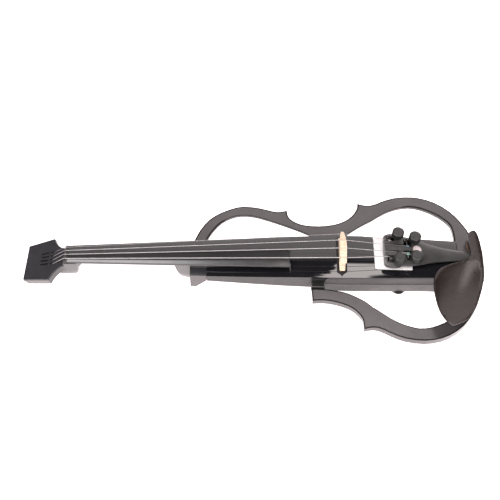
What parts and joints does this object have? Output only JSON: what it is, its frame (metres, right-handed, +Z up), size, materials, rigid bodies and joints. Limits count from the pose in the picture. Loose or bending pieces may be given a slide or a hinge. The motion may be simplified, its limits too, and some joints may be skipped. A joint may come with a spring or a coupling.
{
  "type": "electric violin",
  "caption": "Skeleton-frame electric violin: solid core body, open side frames, headless neck, worm-gear string winders in the tailpiece, chin rest clamp and a back cover over the electronics.",
  "frame": {"origin": "centre of the bounding box in plan, at the level of the flat underside it rests on", "axes": "+X along the strings towards the chin rest end, +Y towards the treble side, +Z up out of the playing side"},
  "size_m": [0.5528, 0.207, 0.0725],
  "materials": {
    "neck_black": "satin",
    "head_black": "matt",
    "ebony": "satin",
    "fingerboard_black": "satin",
    "body_lacquer": "gloss",
    "block_black": "satin",
    "screw_steel": "satin",
    "frame_black": "satin",
    "bracket_black": "satin",
    "gut_black": "satin",
    "pickup_black": "satin",
    "maple": "satin",
    "tailpiece_black": "satin",
    "foam_white": "soft",
    "dot_white": "gloss",
    "string_steel": "polished",
    "knob_black": "satin",
    "drum_steel": "satin",
    "winding_e": "satin",
    "winding_a": "satin",
    "winding_d": "satin",
    "winding_g": "satin",
    "chinrest_brown": "satin",
    "cork": "matt",
    "clamp_chrome": "polished",
    "cover_black": "satin",
    "battery_case": "satin",
    "snap_black": "satin",
    "board_green": "satin",
    "wheel_black": "satin",
    "jack_metal": "satin"
  },
  "bodies": {
    "violin": {"neck": "neck_black", "head_plate": "head_black", "nut": "ebony", "fingerboard": "fingerboard_black", "body_core": "body_lacquer", "upper_block": "block_black", "neck_screw_treble": "screw_steel", "neck_screw_bass": "screw_steel", "treble_frame": "frame_black", "bass_frame": "frame_black", "frame_bracket": "bracket_black", "bracket_screw": "screw_steel", "tail_block": "block_black", "saddle": "ebony", "end_pin": "ebony", "tail_gut": "gut_black", "bridge_base": "pickup_black", "pickup_lead": "pickup_black", "bridge": "maple", "tailpiece": "tailpiece_black", "foam_pad": "foam_white", "tuner_dot": "dot_white", "string_e": "string_steel", "string_a": "string_steel", "string_d": "string_steel", "string_g": "string_steel", "chinrest": "chinrest_brown", "chinrest_cork_treble": "cork", "clamp_rod_treble": "clamp_chrome", "chinrest_cork_bass": "cork", "clamp_rod_bass": "clamp_chrome", "back_cover": "cover_black", "cover_screw_1": "screw_steel", "cover_screw_2": "screw_steel", "cover_screw_3": "screw_steel", "cover_screw_4": "screw_steel", "battery": "battery_case", "battery_snap": "snap_black", "circuit_board": "board_green", "output_jack": "jack_metal", "phones_jack": "jack_metal"},
    "knob_e": {"tuner_knob_e": "knob_black"},
    "drum_e": {"tuner_drum_e": "drum_steel", "winding_e": "winding_e"},
    "knob_a": {"tuner_knob_a": "knob_black"},
    "drum_a": {"tuner_drum_a": "drum_steel", "winding_a": "winding_a"},
    "knob_d": {"tuner_knob_d": "knob_black"},
    "drum_d": {"tuner_drum_d": "drum_steel", "winding_d": "winding_d"},
    "knob_g": {"tuner_knob_g": "knob_black"},
    "drum_g": {"tuner_drum_g": "drum_steel", "winding_g": "winding_g"},
    "barrel_treble": {"clamp_barrel_treble": "clamp_chrome"},
    "barrel_bass": {"clamp_barrel_bass": "clamp_chrome"},
    "foot": {"clamp_foot": "clamp_chrome", "clamp_pad": "cork"},
    "volume": {"volume_wheel": "wheel_black"},
    "switch": {"power_switch": "wheel_black"},
    "door": {"battery_door": "cover_black"}
  },
  "joints": [
    {"name": "knob_e_turn", "type": "hinge", "parent": "violin", "child": "knob_e", "pos_m": [0.17145, 0.0173, 0.0585], "axis": [0, 0, 1], "continuous": true},
    {"name": "knob_a_turn", "type": "hinge", "parent": "violin", "child": "knob_a", "pos_m": [0.19145, 0.0135, 0.0585], "axis": [0, 0, 1], "continuous": true},
    {"name": "knob_d_turn", "type": "hinge", "parent": "violin", "child": "knob_d", "pos_m": [0.19145, -0.0135, 0.0585], "axis": [0, 0, 1], "continuous": true},
    {"name": "knob_g_turn", "type": "hinge", "parent": "violin", "child": "knob_g", "pos_m": [0.17145, -0.0173, 0.0585], "axis": [0, 0, 1], "continuous": true},
    {"name": "drum_e_turn", "type": "hinge", "parent": "violin", "child": "drum_e", "pos_m": [0.16315, 0.0173, 0.0567], "axis": [0, 1, 0], "continuous": true},
    {"name": "drum_a_turn", "type": "hinge", "parent": "violin", "child": "drum_a", "pos_m": [0.18316, 0.0135, 0.0567], "axis": [0, 1, 0], "continuous": true},
    {"name": "drum_d_turn", "type": "hinge", "parent": "violin", "child": "drum_d", "pos_m": [0.18316, -0.0135, 0.0567], "axis": [0, 1, 0], "continuous": true},
    {"name": "drum_g_turn", "type": "hinge", "parent": "violin", "child": "drum_g", "pos_m": [0.16315, -0.0173, 0.0567], "axis": [0, 1, 0], "continuous": true},
    {"name": "barrel_treble_turn", "type": "hinge", "parent": "violin", "child": "barrel_treble", "pos_m": [0.27086, 0.018, 0.0285], "axis": [0, 0, 1], "range_deg": [0, 1080]},
    {"name": "barrel_bass_turn", "type": "hinge", "parent": "violin", "child": "barrel_bass", "pos_m": [0.27086, -0.018, 0.0285], "axis": [0, 0, 1], "range_deg": [0, 1080]},
    {"name": "foot_slide", "type": "slide", "parent": "violin", "child": "foot", "axis": [0, 0, -1], "range_m": [0, 0.0042]},
    {"name": "volume_turn", "type": "hinge", "parent": "violin", "child": "volume", "pos_m": [0.17796, -0.02, 0.0105], "axis": [0, 0, 1], "range_deg": [-140, 140]},
    {"name": "switch_slide", "type": "slide", "parent": "violin", "child": "switch", "axis": [1, 0, 0], "range_m": [0, 0.004]},
    {"name": "door_hinge", "type": "hinge", "parent": "violin", "child": "door", "pos_m": [0.19046, 0, 0.0017], "axis": [0, 1, 0], "range_deg": [0, 90]}
  ],
  "couplings": [
    {"joint": "drum_e_turn", "follows": "knob_e_turn", "ratio": 0.0625},
    {"joint": "drum_a_turn", "follows": "knob_a_turn", "ratio": 0.0625},
    {"joint": "drum_d_turn", "follows": "knob_d_turn", "ratio": 0.0625},
    {"joint": "drum_g_turn", "follows": "knob_g_turn", "ratio": 0.0625},
    {"joint": "barrel_treble_turn", "follows": "foot_slide", "rad_per_m": 4487.9},
    {"joint": "barrel_bass_turn", "follows": "foot_slide", "rad_per_m": 4487.9}
  ]
}
